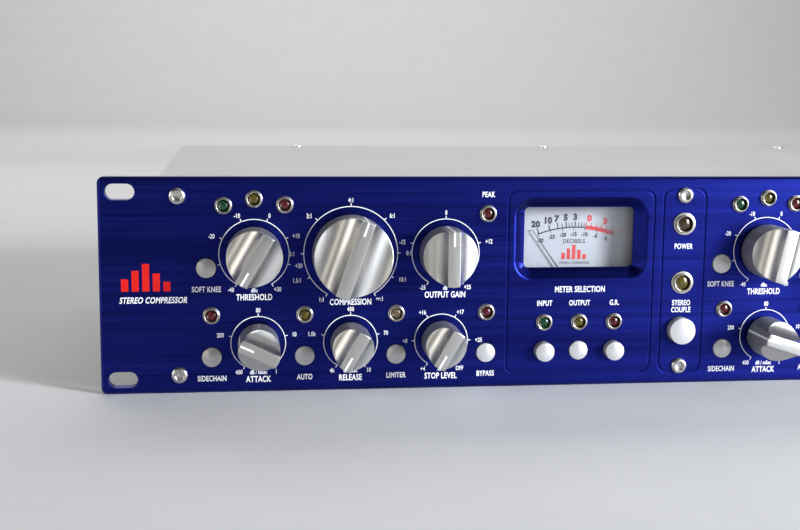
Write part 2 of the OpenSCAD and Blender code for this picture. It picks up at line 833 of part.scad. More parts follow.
// Reservoir capacitors, gain-cell modules and chips of both channels
module board_components() {
    top = board_bottom + board_t;
    color("darkslategray") {
        for (i = [0:3]) translate([30 + 18 * (i % 2), 150 + 22 * floor(i / 2), top]) cylinder(r = 8, h = 30);
        for (i = [0:9]) translate([-190 + 20 * i, 110, top]) cylinder(r = 3.2, h = 11);
        for (x = [-150, -60]) translate([x, 60, top]) cube([38, 22, 12]);
        for (i = [0:7], y = [135, 165]) translate([-192 + 24 * i, y, top]) cube([10, 6.5, 3.5]);
        for (i = [0:1]) translate([-60 + 30 * i, 190, top]) cube([20, 10, 11]);
    }
}

module heat_sink() {
    top = board_bottom + board_t;
    color("darkgray") translate([60, 60, top]) {
        cube([4, 60, 32]);
        for (i = [0:9]) translate([3.9, 1 + 6.2 * i, 0]) cube([14, 2, 32]);
        for (y = [12, 40]) translate([-4.6, y, 4]) cube([4.5, 10, 15]);
    }
}

// Flat cables from the control board, over its back and down to the main board
module ribbon_cables() {
    run_y = 30;
    low = board_bottom + board_t;
    back_of_board = -board_front + board_t;
    color("lightslategray") for (x = [-170, 40]) translate([x, 0, 0]) {
        translate([0, back_of_board, 10]) cube([34, run_y, 0.9]);
        translate([0, back_of_board + run_y - 0.9, low + 8]) cube([34, 0.9, 10 - low - 8 + eps]);
        translate([-2, back_of_board, 6]) cube([38, 6, 9]);
        translate([-2, back_of_board + run_y - 4, low]) cube([38, 7, 8 + eps]);
    }
}

// -------------------------------------------------------------------- nodes

front_panel();
chassis_tray();
top_cover();
rear_panel();
panel_screws();
chassis_screws();
led_bezels();
green_leds();
yellow_leds();
red_leds();
meter_housings();
meter_dials();
meter_windows();
meter_movements();
circuit_boards();
pot_bodies();
switch_bodies();
transformer();
board_components();
heat_sink();
standoffs();
ribbon_cables();
power_inlet();
xlr_sockets();
jack_sockets();
threshold_knob(1, -150);  // threshold_knob_1
compression_knob(1, 19);  // compression_knob_1
output_knob(1, 0);  // output_knob_1
attack_knob(1, -65);  // attack_knob_1
release_knob(1, -150);  // release_knob_1
stop_knob(1, -150);  // stop_knob_1
threshold_knob(2, 12);  // threshold_knob_2
compression_knob(2, 0);  // compression_knob_2
output_knob(2, 0);  // output_knob_2
attack_knob(2, -72);  // attack_knob_2
release_knob(2, -75);  // release_knob_2
stop_knob(2, 150);  // stop_knob_2
soft_knee_button(1);  // soft_knee_button_1
lower_button(1, 0);  // sidechain_button_1
lower_button(1, 1);  // auto_button_1
lower_button(1, 2);  // limiter_button_1
lower_button(1, 3);  // bypass_button_1
selector_button(1, 0, cap_out_h);  // meter_input_button_1
selector_button(1, 1, cap_in_h);  // meter_output_button_1
selector_button(1, 2, cap_out_h);  // meter_reduction_button_1
soft_knee_button(2);  // soft_knee_button_2
lower_button(2, 0);  // sidechain_button_2
lower_button(2, 1);  // auto_button_2
lower_button(2, 2);  // limiter_button_2
lower_button(2, 3);  // bypass_button_2
selector_button(2, 0, cap_out_h);  // meter_input_button_2
selector_button(2, 1, cap_in_h);  // meter_output_button_2
selector_button(2, 2, cap_out_h);  // meter_reduction_button_2
stereo_button();
meter_needle(1);  // meter_needle_1
meter_needle(2);  // meter_needle_2
power_rocker();
xlr_latch(xlr_inputs[0]);  // xlr_latch_1
xlr_latch(xlr_inputs[1]);  // xlr_latch_2
fuse_drawer();
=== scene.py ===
"""Rack compressor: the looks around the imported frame. Metres, in the row frame."""
import json
import math

import bmesh
import bpy
from mathutils import Matrix, Vector

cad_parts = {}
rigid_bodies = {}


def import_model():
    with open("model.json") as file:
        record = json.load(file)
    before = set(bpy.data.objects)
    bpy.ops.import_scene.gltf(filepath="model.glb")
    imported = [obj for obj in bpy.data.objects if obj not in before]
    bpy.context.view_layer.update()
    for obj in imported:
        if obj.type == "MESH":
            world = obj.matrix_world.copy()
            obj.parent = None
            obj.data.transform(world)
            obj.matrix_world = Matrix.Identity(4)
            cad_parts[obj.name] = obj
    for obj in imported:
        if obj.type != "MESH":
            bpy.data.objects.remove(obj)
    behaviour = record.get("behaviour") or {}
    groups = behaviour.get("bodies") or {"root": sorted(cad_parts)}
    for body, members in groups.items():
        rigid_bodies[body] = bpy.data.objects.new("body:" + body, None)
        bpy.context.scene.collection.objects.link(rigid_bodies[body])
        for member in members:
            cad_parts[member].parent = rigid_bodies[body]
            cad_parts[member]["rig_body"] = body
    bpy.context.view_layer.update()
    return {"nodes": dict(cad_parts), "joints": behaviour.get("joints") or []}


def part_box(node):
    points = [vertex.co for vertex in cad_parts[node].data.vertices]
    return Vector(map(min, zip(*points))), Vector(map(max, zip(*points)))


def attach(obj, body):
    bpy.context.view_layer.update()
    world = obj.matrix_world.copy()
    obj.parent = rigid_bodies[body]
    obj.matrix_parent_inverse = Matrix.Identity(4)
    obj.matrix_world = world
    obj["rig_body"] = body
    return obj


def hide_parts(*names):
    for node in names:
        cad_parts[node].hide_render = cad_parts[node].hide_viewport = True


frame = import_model()

MM = 0.001
PANEL_LOW, PANEL_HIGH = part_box("front_panel")
PANEL_T = PANEL_HIGH.y - PANEL_LOW.y          # the panel's front face is at y = -PANEL_T
REAR_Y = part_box("rear_panel")[1].y
FLOOR_Z = PANEL_LOW.z
JOINTS = {j["name"]: j for j in frame["joints"]}
PRINT_T = 0.03 * MM                           # thickness of the printed legends
WELD = 1e-7                                   # points of a built mesh closer than this are one
CAD_WELD = 2e-6                               # the same for a mesh taken from a CAD node
SOLID_WELD = 1e-6                             # the same where the solids of a CAD node are told apart
AXIS_R = 1e-6                                 # radius that stands for a point on the axis
FLAT_ANGLE = 0.5                              # faces of a CAD mesh that differ by less, in degrees, are one


# ---------------------------------------------------------------- placing things

def front(x, z, turn=0.0):
    """Local x to the right, y up and z outwards, as a viewer in front sees it; turn is clockwise."""
    upright = Matrix.Translation((x, 0, z)) @ Matrix.Rotation(math.pi / 2, 4, "X")
    return upright @ Matrix.Rotation(-turn, 4, "Z")


def rear(x, z):
    """The same for a viewer behind the unit, with z outwards from the rear panel."""
    return (Matrix.Translation((x, REAR_Y, z)) @ Matrix.Rotation(math.pi, 4, "Z")
            @ Matrix.Rotation(math.pi / 2, 4, "X"))


def centre(node):
    low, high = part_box(node)
    return (low + high) / 2


def islands(node):
    """The separate solids of a CAD node, as (low corner, high corner), left to right."""
    mesh = bmesh.new()
    mesh.from_mesh(frame["nodes"][node].data)
    bmesh.ops.remove_doubles(mesh, verts=mesh.verts, dist=SOLID_WELD)
    left, found = set(mesh.verts), []
    while left:
        heap, group = [left.pop()], []
        while heap:
            vert = heap.pop()
            group.append(vert.co.copy())
            for edge in vert.link_edges:
                other = edge.other_vert(vert)
                if other in left:
                    left.remove(other)
                    heap.append(other)
        low = Vector([min(co[i] for co in group) for i in range(3)])
        high = Vector([max(co[i] for co in group) for i in range(3)])
        found.append((low, high))
    mesh.free()
    return sorted(found, key=lambda box: (round(box[0].x, 4), box[0].z, box[0].y))


# ---------------------------------------------------------------- mesh building

def arc(cx, cy, r, start, end, steps):
    """Points along an arc, angles in degrees, for a profile of (radius, height)."""
    angles = [math.radians(start + (end - start) * i / steps) for i in range(steps + 1)]
    return [(cx + r * math.cos(a), cy + r * math.sin(a)) for a in angles]


def circle_ring(r, z, n):
    return [(r * math.cos(2 * math.pi * i / n), r * math.sin(2 * math.pi * i / n), z) for i in range(n)]


def hex_ring(apothem, z, n):
    ring = []
    for i in range(n):
        a = 2 * math.pi * i / n
        r = apothem / math.cos((a % (math.pi / 3)) - math.pi / 6)
        ring.append((r * math.cos(a), r * math.sin(a), z))
    return ring


def loft(mesh, rings, matrix=None, caps=(True, True), material=0):
    """Closed skin through rings of equally many points."""
    matrix = matrix or Matrix.Identity(4)
    loops = [[mesh.verts.new(matrix @ Vector(p)) for p in ring] for ring in rings]
    n = len(loops[0])
    faces = []
    for lower, upper in zip(loops, loops[1:]):
        for i in range(n):
            j = (i + 1) % n
            faces.append(mesh.faces.new((lower[i], lower[j], upper[j], upper[i])))
    if caps[0]:
        faces.append(mesh.faces.new(list(reversed(loops[0]))))
    if caps[1]:
        faces.append(mesh.faces.new(loops[-1]))
    for face in faces:
        face.material_index = material


def lathe(mesh, profile, n=64, matrix=None, material=0, closed=False):
    """Solid of revolution about local z from (radius, height) points, bottom to top outside."""
    rings = [circle_ring(max(r, AXIS_R), z, n) for r, z in profile]
    if closed:
        rings.append(rings[0])
        loft(mesh, rings, matrix, (False, False), material)
        bmesh.ops.remove_doubles(mesh, verts=mesh.verts, dist=WELD)
    else:
        loft(mesh, rings, matrix, (True, True), material)


def box_solid(mesh, low, high, matrix=None, material=0):
    """A box between two corners."""
    (x0, y0, z0), (x1, y1, z1) = low, high
    ring = [(x0, y0), (x1, y0), (x1, y1), (x0, y1)]
    rings = [[(x, y, z) for x, y in ring] for z in (z0, z1)]
    loft(mesh, rings, matrix, (True, True), material)


def finish_mesh(name, mesh, materials, matrix=None, smooth=38, bevel=0.0, weighted=False):
    """Makes the object from a bmesh: outward normals, smooth below an angle, edges rounded if asked for."""
    bmesh.ops.recalc_face_normals(mesh, faces=mesh.faces)
    data = bpy.data.meshes.new(name)
    mesh.to_mesh(data)
    mesh.free()
    piece = bpy.data.objects.new(name, data)
    bpy.context.scene.collection.objects.link(piece)
    if matrix is not None:
        piece.matrix_world = matrix
    for material in materials:
        data.materials.append(material)
    if bevel:
        round_edges(piece, bevel, smooth, weighted=weighted)
    for polygon in piece.data.polygons:
        polygon.use_smooth = True
    piece.data.set_sharp_from_angle(angle=math.radians(smooth))
    if bevel:
        normals = piece.modifiers.new("weighted", "WEIGHTED_NORMAL")
        normals.keep_sharp = True
        normals.weight = 100
    return piece


def round_edges(piece, width, angle, weighted):
    """Rounds the edges sharper than the angle, or those with a weight, and applies the result."""
    modifier = piece.modifiers.new("round", "BEVEL")
    modifier.width = width
    modifier.segments = 4 if weighted else 2
    modifier.limit_method = "WEIGHT" if weighted else "ANGLE"
    modifier.angle_limit = math.radians(angle)
    modifier.use_clamp_overlap = not weighted
    graph = bpy.context.evaluated_depsgraph_get()
    made = bpy.data.meshes.new_from_object(piece.evaluated_get(graph))
    piece.modifiers.clear()
    piece.data = made


def merged_mesh(node):
    """The mesh of a CAD node with its flat faces merged."""
    mesh = bmesh.new()
    mesh.from_mesh(frame["nodes"][node].data)
    bmesh.ops.remove_doubles(mesh, verts=mesh.verts, dist=CAD_WELD)
    bmesh.ops.dissolve_limit(mesh, angle_limit=math.radians(FLAT_ANGLE), verts=mesh.verts, edges=mesh.edges)
    for face in mesh.faces:
        face.material_index = 0
    return mesh


def refine(node, material, bevel):
    """A copy of a CAD node with its edges rounded, shown in the node's place."""
    piece = finish_mesh(node + "_shell", merged_mesh(node), [material], bevel=bevel)
    stand_for(piece, node)


def stand_for(piece, node):
    """Shows the piece in the place of a CAD node, on its body."""
    body = frame["nodes"][node]["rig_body"]
    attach(piece, body)
    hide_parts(node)


# ---------------------------------------------------------------- materials

MIX_FACTOR, MIX_A, MIX_B = 0, 6, 7            # sockets of a colour Mix node
MIX_RESULT = 2


class Finish:
    """A Principled material with procedural detail from noise in the piece's own coordinates."""

    def __init__(self, name, color, roughness, metallic=0.0, **sockets):
        self.material = bpy.data.materials.new(name)
        self.material.use_nodes = True
        self.nodes = self.material.node_tree.nodes
        self.links = self.material.node_tree.links
        self.shader = self.nodes["Principled BSDF"]
        self.set("Base Color", (*color, 1))
        self.set("Roughness", roughness)
        self.set("Metallic", metallic)
        for socket, value in sockets.items():
            self.set(socket.replace("_", " "), value)
        self.place = self.nodes.new("ShaderNodeTexCoord").outputs["Object"]

    def set(self, socket, value):
        self.shader.inputs[socket].default_value = value

    def noise(self, scale, detail=4.0, rough=0.55):
        """Noise with a different scale along each axis, per metre."""
        mapping = self.nodes.new("ShaderNodeMapping")
        mapping.inputs["Scale"].default_value = scale
        self.links.new(self.place, mapping.inputs["Vector"])
        texture = self.nodes.new("ShaderNodeTexNoise")
        texture.inputs["Scale"].default_value = 1.0
        texture.inputs["Detail"].default_value = detail
        texture.inputs["Roughness"].default_value = rough
        self.links.new(mapping.outputs["Vector"], texture.inputs["Vector"])
        return texture.outputs["Fac"]

    def spread(self, value, low, high, from_low=0.3, from_high=0.7):
        """Maps a value from one range to another, held at its ends."""
        node = self.nodes.new("ShaderNodeMapRange")
        node.inputs["From Min"].default_value = from_low
        node.inputs["From Max"].default_value = from_high
        node.inputs["To Min"].default_value = low
        node.inputs["To Max"].default_value = high
        self.links.new(value, node.inputs["Value"])
        return node.outputs["Result"]

    def vary(self, socket, value, low, high, from_low=0.3, from_high=0.7):
        self.links.new(self.spread(value, low, high, from_low, from_high), self.shader.inputs[socket])

    def tint(self, value, color_a, color_b, from_low=0.3, from_high=0.7):
        """Makes the base colour run between two colours."""
        node = self.nodes.new("ShaderNodeMix")
        node.data_type = "RGBA"
        node.inputs[MIX_A].default_value = (*color_a, 1)
        node.inputs[MIX_B].default_value = (*color_b, 1)
        self.links.new(self.spread(value, 0, 1, from_low, from_high), node.inputs[MIX_FACTOR])
        self.links.new(node.outputs[MIX_RESULT], self.shader.inputs["Base Color"])

    def overlay(self, value, color):
        """Mixes a colour over what the base colour already is."""
        below = self.shader.inputs["Base Color"].links[0].from_socket
        node = self.nodes.new("ShaderNodeMix")
        node.data_type = "RGBA"
        node.inputs[MIX_B].default_value = (*color, 1)
        self.links.new(value, node.inputs[MIX_FACTOR])
        self.links.new(below, node.inputs[MIX_A])
        self.links.new(node.outputs[MIX_RESULT], self.shader.inputs["Base Color"])

    def bump(self, value, strength, distance):
        node = self.nodes.new("ShaderNodeBump")
        node.inputs["Strength"].default_value = strength
        node.inputs["Distance"].default_value = distance
        self.links.new(value, node.inputs["Height"])
        self.links.new(node.outputs["Normal"], self.shader.inputs["Normal"])


def shade(color, factor):
    return tuple(c * factor for c in color)


def brushed(name, color, roughness, scale, metallic=1.0, depth=0.02, spread=0.10, contrast=0.18):
    """Metal with fine lines; the scale's small number is the direction in which the lines run."""
    finish = Finish(name, color, roughness, metallic)
    lines = finish.noise(scale, detail=6, rough=0.65)
    finish.tint(lines, shade(color, 1 - contrast), shade(color, 1 + contrast))
    finish.vary("Roughness", lines, roughness - spread, roughness + spread)
    finish.bump(lines, 0.35, depth * MM)
    return finish.material


def satin(name, color, roughness, metallic=1.0, contrast=0.06):
    """Blasted or plated metal: fine even grain."""
    finish = Finish(name, color, roughness, metallic)
    cloud = finish.noise((60, 60, 60), detail=3)
    finish.tint(cloud, shade(color, 1 - contrast), shade(color, 1 + contrast))
    grain = finish.noise((2500, 2500, 2500), detail=2)
    finish.vary("Roughness", grain, roughness - 0.06, roughness + 0.06)
    finish.bump(grain, 0.15, 0.01 * MM)
    return finish.material


def painted(name, color, roughness=0.5, grain=1800, depth=0.03, contrast=0.05):
    """Fine textured paint over sheet metal."""
    finish = Finish(name, color, roughness)
    cloud = finish.noise((22, 22, 22), detail=5)
    finish.tint(cloud, shade(color, 1 - contrast), shade(color, 1 + contrast))
    finish.vary("Roughness", cloud, roughness - 0.05, roughness + 0.07)
    finish.bump(finish.noise((grain, grain, grain), detail=3), 0.35, depth * MM)
    return finish.material


def plastic(name, color, roughness=0.45, **sockets):
    """Moulded plastic with a fine spark-eroded grain."""
    finish = Finish(name, color, roughness, 0.0, **sockets)
    cloud = finish.noise((90, 90, 90), detail=3)
    finish.tint(cloud, shade(color, 0.88), shade(color, 1.12))
    finish.vary("Roughness", cloud, roughness - 0.05, roughness + 0.05)
    finish.bump(finish.noise((2200, 2200, 2200), detail=2), 0.2, 0.012 * MM)
    return finish.material


BLUE = (0.006, 0.010, 0.34)                   # the panel's plain colour, before its lines
BLUE_LOW, BLUE_HIGH = (0.0066, 0.0090, 0.098), (0.0135, 0.0215, 0.240)
BLUE_SCRATCH = (0.035, 0.058, 0.50)


def anodised_panel():
    """Deep blue anodised aluminium, brushed along its width, with broad soft streaks."""
    finish = Finish("panel_blue", BLUE, 0.36, 1.0, Anisotropic=0.2)
    tangent = finish.nodes.new("ShaderNodeTangent")
    tangent.direction_type, tangent.axis = "RADIAL", "X"
    finish.links.new(tangent.outputs["Tangent"], finish.shader.inputs["Tangent"])
    lines = finish.noise((6, 2600, 2600), detail=7, rough=0.7)
    streaks = finish.noise((3, 260, 260), detail=4)
    mean = finish.nodes.new("ShaderNodeMath")
    mean.operation = "MULTIPLY_ADD"
    mean.inputs[1].default_value = 0.5
    finish.links.new(lines, mean.inputs[0])
    half_streaks = finish.spread(streaks, 0.0, 0.5, 0.0, 1.0)
    finish.links.new(half_streaks, mean.inputs[2])
    blend = mean.outputs[0]
    finish.tint(blend, BLUE_LOW, BLUE_HIGH, 0.35, 0.65)
    scratch = finish.spread(finish.noise((14, 1900, 1900), detail=3, rough=0.5), 0, 0.28, 0.60, 0.74)
    finish.overlay(scratch, BLUE_SCRATCH)
    finish.vary("Roughness", blend, 0.32, 0.40, 0.35, 0.65)
    finish.bump(lines, 0.35, 0.02 * MM)
    return finish.material


def led_resin(name, color, inner):
    """Tinted unlit resin, its tone running at random between its own tint and a paler inner one."""
    finish = Finish(name, color, 0.16, 0.0, Coat_Weight=0.2, Coat_Roughness=0.08, IOR=1.45)
    cloud = finish.noise((700, 700, 700), detail=2)
    finish.tint(cloud, color, inner, 0.35, 0.75)
    finish.vary("Roughness", cloud, 0.12, 0.22)
    return finish.material


def print_ink(name, color):
    """Screen-printed ink, slightly uneven."""
    finish = Finish(name, color, 0.55, Specular_IOR_Level=0.15)
    cloud = finish.noise((900, 900, 900), detail=3)
    finish.tint(cloud, shade(color, 0.9), color)
    finish.vary("Roughness", cloud, 0.5, 0.65)
    return finish.material


def clear_window():
    """Thin clear plastic: mostly see-through, with a gloss."""
    finish = Finish("meter_clear", (0.9, 0.93, 0.95), 0.03, 0.0, Alpha=0.035, IOR=1.49)
    finish.vary("Roughness", finish.noise((80, 80, 80), detail=3), 0.02, 0.06)
    return finish.material


PANEL = anodised_panel()
COVER = painted("cover_grey", (0.47, 0.455, 0.43), 0.42, depth=0.02)
CHASSIS = painted("chassis_grey", (0.50, 0.49, 0.47), 0.45)
KNOB = brushed("knob_metal", (0.58, 0.57, 0.545), 0.35, (1600, 40, 1600), depth=0.004, spread=0.05,
               contrast=0.05)
CAP = satin("cap_silver", (0.60, 0.59, 0.585), 0.33, 0.38, contrast=0.02)
STEEL = satin("screw_steel", (0.62, 0.61, 0.58), 0.28)
BEZEL = satin("bezel_metal", (0.50, 0.475, 0.42), 0.32)
KNOB_SIDE = satin("knob_side", (0.46, 0.45, 0.43), 0.50)
SHAFT = brushed("shaft_steel", (0.55, 0.54, 0.52), 0.35, (900, 900, 40), depth=0.01)
WHITE_INK = print_ink("ink_white", (0.88, 0.88, 0.90))
RED_INK = print_ink("ink_red", (0.62, 0.012, 0.008))
SCALE_RED = print_ink("scale_red", (0.58, 0.014, 0.009))
BLACK_INK = print_ink("ink_black", (0.010, 0.010, 0.012))
POINTER_WHITE = print_ink("pointer_white", (0.85, 0.85, 0.85))
GREEN_LED = led_resin("led_green", (0.002, 0.022, 0.008), (0.007, 0.062, 0.024))
YELLOW_LED = led_resin("led_yellow", (0.036, 0.028, 0.003), (0.12, 0.092, 0.008))
AMBER_LED = led_resin("led_amber", (0.075, 0.048, 0.028), (0.17, 0.12, 0.075))
BROWN_LED = led_resin("led_brown", (0.016, 0.010, 0.005), (0.060, 0.038, 0.014))
RED_LED = led_resin("led_red", (0.032, 0.003, 0.004), (0.095, 0.008, 0.010))
DIAL = painted("dial_white", (0.385, 0.395, 0.44), 0.6, grain=3000, depth=0.005, contrast=0.015)
METER_BLACK = plastic("meter_black", (0.03, 0.03, 0.03))
WINDOW = clear_window()
INLET = plastic("inlet_black", (0.022, 0.022, 0.022), 0.5)
JACK = plastic("jack_black", (0.03, 0.03, 0.03), 0.42)
SOCKET = satin("socket_metal", (0.58, 0.57, 0.55), 0.32)
ROCKER = plastic("rocker_black", (0.015, 0.015, 0.015), 0.25)
LATCH = satin("latch_metal", (0.45, 0.45, 0.46), 0.35)
NEEDLE = plastic("needle_black", (0.010, 0.010, 0.010), 0.85, Specular_IOR_Level=0.1)
BOARD = painted("board_green", (0.02, 0.14, 0.06), 0.35, grain=900, contrast=0.25)
POT = satin("pot_metal", (0.55, 0.55, 0.52), 0.35)
SWITCH = plastic("switch_plastic", (0.05, 0.05, 0.05))
WINDING = brushed("transformer_core", (0.42, 0.20, 0.08), 0.45, (200, 200, 2200), metallic=0.3,
                  contrast=0.35)
COMPONENT = plastic("component_black", (0.04, 0.04, 0.05), 0.4)
SINK = brushed("heat_sink_metal", (0.10, 0.10, 0.11), 0.4, (60, 60, 900))
BRASS = satin("standoff_brass", (0.72, 0.52, 0.22), 0.28)
RIBBON = brushed("ribbon_grey", (0.40, 0.41, 0.45), 0.5, (1600, 8, 8), metallic=0.0, contrast=0.2)
MOVEMENT = satin("movement_steel", (0.5, 0.5, 0.5), 0.3)

KEPT_NODES = {"meter_housings": METER_BLACK, "meter_dials": DIAL, "meter_windows": WINDOW,
              "meter_movements": MOVEMENT, "circuit_boards": BOARD, "pot_bodies": POT,
              "transformer": WINDING, "board_components": COMPONENT, "heat_sink": SINK,
              "standoffs": BRASS, "ribbon_cables": RIBBON}


def dress_kept_nodes():
    for node, material in KEPT_NODES.items():
        data = frame["nodes"][node].data
        data.materials.clear()
        data.materials.append(material)


# ---------------------------------------------------------------- casing

HOLE_REACH = 5.2 * MM                 # edges nearer than this to a knob, button, light or screw stay as cut
RECESS_HALF = (29 * MM, 18 * MM)      # half the width and height of a meter recess, with some room
RECESS_ROUND = 0.7 * MM
GROOVE_SHARE = 0.3                    # a groove's rounding as a share of a recess's
FRONT_FACE = 1e-5                     # how far from the front face a point may be
SHARP = math.radians(20)

# Casing nodes with their material and the rounding of their edges, in mm
CASING = {"top_cover": (COVER, 0.8), "chassis_tray": (CHASSIS, 0.3), "rear_panel": (CHASSIS, 0.2),
          "power_inlet": (INLET, 0.3), "xlr_sockets": (SOCKET, 0.25), "jack_sockets": (JACK, 0.25),
          "switch_bodies": (SWITCH, 0.2), "power_rocker": (ROCKER, 0.5), "fuse_drawer": (INLET, 0.4),
          "xlr_latch_1": (LATCH, 0.4), "xlr_latch_2": (LATCH, 0.4)}


def rounding(edge, holes, windows):
    """How much of the full rounding a panel edge gets: all of it at a recess, less at a groove."""
    if any(abs(v.co.y + PANEL_T) > FRONT_FACE for v in edge.verts):
        return 0.0
    if len(edge.link_faces) != 2 or edge.calc_face_angle() < SHARP:
        return 0.0
    middle = (edge.verts[0].co + edge.verts[1].co) / 2
    if any(math.hypot(middle.x - h.x, middle.z - h.z) < HOLE_REACH for h in holes):
        return 0.0
    half_w, half_h = RECESS_HALF
    recess = any(abs(middle.x - w.x) < half_w and abs(middle.z - w.z) < half_h for w in windows)
    return 1.0 if recess else GROOVE_SHARE


def panel_shell():
    """The front panel with rounded edges: wide at the meter recesses, narrow at the frame grooves."""
    holes = [centre(n) for n in frame["nodes"] if "_knob_" in n or "button" in n]
    small = ("led_bezels", "panel_screws")
    holes += [(low + high) / 2 for n in small for low, high in islands(n)]
    windows = [(low + high) / 2 for low, high in islands("meter_windows")]
    mesh = merged_mesh("front_panel")
    weight = mesh.edges.layers.float.new("bevel_weight_edge")
    for edge in mesh.edges:
        edge[weight] = rounding(edge, holes, windows)
    piece = finish_mesh("front_panel_shell", mesh, [PANEL], smooth=30, bevel=RECESS_ROUND, weighted=True)
    stand_for(piece, "front_panel")


def casing():
    panel_shell()
    for node, (material, bevel) in CASING.items():
        refine(node, material, bevel * MM)


# ---------------------------------------------------------------- knobs

KNOB_GAP = 1.0 * MM                   # between the panel and a knob's foot
KNOB_BEVEL = 0.35 * MM
GRIP_BEVEL = 0.3 * MM
BIG_GRIP, SMALL_GRIP = 5.8 * MM, 5.2 * MM
SCOOP_R = 9.0 * MM
FOOT_BEVEL = 0.3 * MM
BORE_R, BORE_L = 6.8 * MM, 2.8 * MM
SHAFT_R = 3.0 * MM
SHAFT_IN = 8 * MM                     # how far the shaft reaches behind the panel
POINTER_W = 0.8 * MM
POINTER_L = 6.0 * MM
POINTER_D = 0.2 * MM                  # how deep the pointer's filling is
POINTER_LIFT = 0.02 * MM              # how far it stands out
POINTER_FOOT = 1.2 * MM               # where it ends on the side, above the knob's foot
FIRST_STOP = -150                     # degrees clockwise from up
SHAFT_SLOT, POINTER_SLOT, SIDE_SLOT = 1, 2, 3


def knob_section(r, grip, top):
    """Half of the cross-section over the grip bar, as (x, height) from the middle to the rim."""
    half, scoop_x = grip / 2, grip / 2 + SCOOP_R
    points = [(0, top), (half - GRIP_BEVEL, top)]
    points += [(half + GRIP_BEVEL * (math.sin(a) - 1), top + GRIP_BEVEL * (math.cos(a) - 1))
               for a in (math.pi / 12 * i for i in range(1, 7))]
    reach = r - scoop_x
    last = math.acos(max(-1.0, min(1.0, -reach / SCOOP_R)))
    first = math.asin(GRIP_BEVEL / SCOOP_R)
    steps = 36
    for i in range(1, steps + 1):
        a = first + (last - first) * i / steps
        points.append((scoop_x - SCOOP_R * math.cos(a), top - SCOOP_R * math.sin(a)))
    return points


def knob_mesh(r, grip, base, top):
    """Turned knob: grip bar between two scoops, rounded rim, bored underside, shaft and pointer line."""
    mesh = bmesh.new()
    inner = r - KNOB_BEVEL
    half = [(x * inner / r, h) for x, h in knob_section(r, grip, top)]
    profile = [(-x, h) for x, h in reversed(half[1:])] + half
    rows = 10
    grid = []
    for x, h in profile:
        reach = math.sqrt(max(inner * inner - x * x, 0))
        line = [mesh.verts.new((x, reach * (2 * j / rows - 1), h)) for j in range(rows + 1)]
        grid.append(line)
    for a, b in zip(grid, grid[1:]):
        for j in range(rows):
            mesh.faces.new((a[j], b[j], b[j + 1], a[j + 1]))
    edge = [(line[0], line[0].co) for line in grid] + [(line[-1], line[-1].co) for line in reversed(grid)]
    loops = [[vert for vert, _ in edge]]
    levels = [(math.sin(a), 1 - math.cos(a)) for a in (math.pi / 8 * i for i in range(1, 5))]
    for out, down in levels:
        grow = 1 + out * KNOB_BEVEL / inner
        sink = down * KNOB_BEVEL
        loops.append([mesh.verts.new((co.x * grow, co.y * grow, co.z - sink)) for _, co in edge])
    scale = r / inner
    for shrink, z in ((1.0, base + FOOT_BEVEL), (1 - FOOT_BEVEL / r, base), (BORE_R / r, base),
                      (BORE_R / r, base + BORE_L), (SHAFT_R / r, base + BORE_L)):
        loops.append([mesh.verts.new((co.x * scale * shrink, co.y * scale * shrink, z)) for _, co in edge])
    n = len(edge)
    for k, (a, b) in enumerate(zip(loops, loops[1:])):
        for i in range(n):
            face = mesh.faces.new((a[i], a[(i + 1) % n], b[(i + 1) % n], b[i]))
            face.material_index = SIDE_SLOT if k >= len(levels) else 0
    mesh.faces.new(loops[-1])
    bmesh.ops.remove_doubles(mesh, verts=mesh.verts, dist=WELD)
    lathe(mesh, [(SHAFT_R, -SHAFT_IN), (SHAFT_R, base + BORE_L)], 32, material=SHAFT_SLOT)
    pointer_line(mesh, r, base, top)
    return mesh


def pointer_line(mesh, r, base, top):
    """White filled line: along the bar's top from its pointer end, and down the side wall."""
    half = POINTER_W / 2
    box_solid(mesh, (-half, r - POINTER_L, top - POINTER_D), (half, r - KNOB_BEVEL, top + POINTER_LIFT),
              material=POINTER_SLOT)
    out, deep = r + POINTER_LIFT, r - POINTER_D
    side = math.sqrt(out ** 2 - half ** 2)
    section = [(-half, side), (0, out), (half, side), (half, deep), (-half, deep)]
    ends = (base + POINTER_FOOT, top - KNOB_BEVEL)
    loft(mesh, [[(x, y, z) for x, y in section] for z in ends], material=POINTER_SLOT)


def knobs():
    """Each knob at its setting in the photo, read from how much of its turn lies before rest."""
    base = PANEL_T + KNOB_GAP
    for node in (n for n in frame["nodes"] if "_knob_" in n):
        low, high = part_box(node)
        middle = (low + high) / 2
        r = (high.x - low.x) / 2
        grip = BIG_GRIP if node.startswith("compression") else SMALL_GRIP
        joint = JOINTS[node.replace("_knob_", "_") + "_turn"]
        rest = math.radians(FIRST_STOP - joint["range_deg"][0])
        mesh = knob_mesh(r, grip, base, -low.y)
        piece = finish_mesh(node + "_turned", mesh, [KNOB, SHAFT, POINTER_WHITE, KNOB_SIDE],
                            front(middle.x, middle.z, rest), smooth=32)
        stand_for(piece, node)


# ---------------------------------------------------------------- buttons

CAP_L = 6.0 * MM
CAP_DOME = 0.75 * MM
CAP_FILLET = 0.5 * MM
CAP_FOOT = 0.2 * MM
STEM_R, STEM_L = 1.6 * MM, 9.4 * MM


def cap_profile(r, top):
    """Plunger, cap and slightly domed top as one profile from the inner end outwards."""
    bottom, rim = top - CAP_L, top - CAP_DOME - CAP_FILLET
    dome = [(r - CAP_FILLET, top - CAP_DOME)]
    dome += [((r - CAP_FILLET) * (1 - t), top - CAP_DOME * (1 - t) ** 2)
             for t in (i / 8 for i in range(1, 9))]
    fillet = arc(r - CAP_FILLET, rim, CAP_FILLET, 0, 90, 5)
    stem = [(STEM_R, bottom - STEM_L), (STEM_R, bottom)]
    return stem + [(r - CAP_FOOT, bottom), (r, bottom + CAP_FOOT)] + fillet[:-1] + dome


